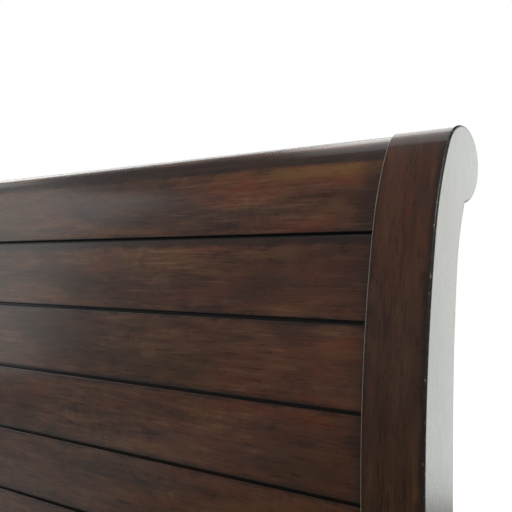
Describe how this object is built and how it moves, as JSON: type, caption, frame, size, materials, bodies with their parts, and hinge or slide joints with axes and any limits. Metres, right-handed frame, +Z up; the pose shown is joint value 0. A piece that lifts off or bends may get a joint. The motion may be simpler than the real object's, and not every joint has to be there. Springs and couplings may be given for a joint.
{
  "type": "sleigh bed",
  "caption": "Sleigh bed with scrolled posts, planked head and foot panels, hooked side rails, slatted deck and a centre beam on levelling feet.",
  "frame": {"origin": "on the floor under the middle of the bed", "axes": "+Y towards the headboard, +X across the bed, to the right of someone at the foot who faces the headboard, +Z up"},
  "size_m": [1.653, 2.3624, 1.42],
  "materials": {
    "dark_wood": "satin lacquer over a dark espresso stain",
    "deck_wood": "planed, unfinished",
    "dowel_wood": "fluted beech, unfinished",
    "steel": "zinc plated",
    "plastic": "moulded nylon"
  },
  "bodies": {
    "bed_frame": {"headboard_post_left": "dark_wood", "headboard_post_right": "dark_wood", "headboard_crest_rail": "dark_wood", "headboard_plank_1": "dark_wood", "headboard_plank_2": "dark_wood", "headboard_plank_3": "dark_wood", "headboard_plank_4": "dark_wood", "headboard_plank_5": "dark_wood", "headboard_plank_6": "dark_wood", "headboard_plank_7": "dark_wood", "headboard_plank_8": "dark_wood", "headboard_bottom_rail": "dark_wood", "headboard_batten_left": "dark_wood", "headboard_batten_centre": "dark_wood", "headboard_batten_right": "dark_wood", "footboard_post_left": "dark_wood", "footboard_post_right": "dark_wood", "footboard_crest_rail": "dark_wood", "footboard_plank_1": "dark_wood", "footboard_plank_2": "dark_wood", "footboard_plank_3": "dark_wood", "footboard_bottom_rail": "dark_wood", "side_rail_left": "dark_wood", "side_rail_right": "dark_wood", "slat_ledger_left": "deck_wood", "slat_ledger_right": "deck_wood", "slat_1": "deck_wood", "slat_2": "deck_wood", "slat_3": "deck_wood", "slat_4": "deck_wood", "slat_5": "deck_wood", "slat_6": "deck_wood", "slat_7": "deck_wood", "slat_8": "deck_wood", "slat_9": "deck_wood", "slat_10": "deck_wood", "slat_11": "deck_wood", "slat_12": "deck_wood", "centre_beam": "deck_wood", "centre_leg_1": "deck_wood", "centre_leg_2": "deck_wood", "centre_leg_3": "deck_wood", "headboard_dowels": "dowel_wood", "footboard_dowels": "dowel_wood", "rail_hook_plates": "steel", "post_receiver_plates": "steel", "beam_brackets": "steel", "leg_inserts": "steel", "batten_screws": "steel", "ledger_screws": "steel", "slat_screws": "steel", "plate_screws": "steel", "leg_bolts": "steel", "post_glides": "plastic"},
    "levelling_pad_1": {"foot_pad_1": "plastic"},
    "levelling_stem_1": {"foot_stem_1": "steel"},
    "levelling_pad_2": {"foot_pad_2": "plastic"},
    "levelling_stem_2": {"foot_stem_2": "steel"},
    "levelling_pad_3": {"foot_pad_3": "plastic"},
    "levelling_stem_3": {"foot_stem_3": "steel"}
  },
  "joints": [
    {"name": "foot_1_height", "type": "slide", "parent": "bed_frame", "child": "levelling_pad_1", "axis": [0, 0, 1], "range_m": [-0.008, 0.012]},
    {"name": "foot_1_screw", "type": "hinge", "parent": "levelling_pad_1", "child": "levelling_stem_1", "pos_m": [0, -0.62, 0.02], "axis": [0, 0, 1], "range_deg": [-2310, 3465]},
    {"name": "foot_2_height", "type": "slide", "parent": "bed_frame", "child": "levelling_pad_2", "axis": [0, 0, 1], "range_m": [-0.008, 0.012]},
    {"name": "foot_2_screw", "type": "hinge", "parent": "levelling_pad_2", "child": "levelling_stem_2", "pos_m": [0, 0, 0.02], "axis": [0, 0, 1], "range_deg": [-2310, 3465]},
    {"name": "foot_3_height", "type": "slide", "parent": "bed_frame", "child": "levelling_pad_3", "axis": [0, 0, 1], "range_m": [-0.008, 0.012]},
    {"name": "foot_3_screw", "type": "hinge", "parent": "levelling_pad_3", "child": "levelling_stem_3", "pos_m": [0, 0.62, 0.02], "axis": [0, 0, 1], "range_deg": [-2310, 3465]}
  ],
  "couplings": [
    {"joint": "foot_1_screw", "follows": "foot_1_height", "rad_per_m": 5026.5},
    {"joint": "foot_2_screw", "follows": "foot_2_height", "rad_per_m": 5026.5},
    {"joint": "foot_3_screw", "follows": "foot_3_height", "rad_per_m": 5026.5}
  ]
}
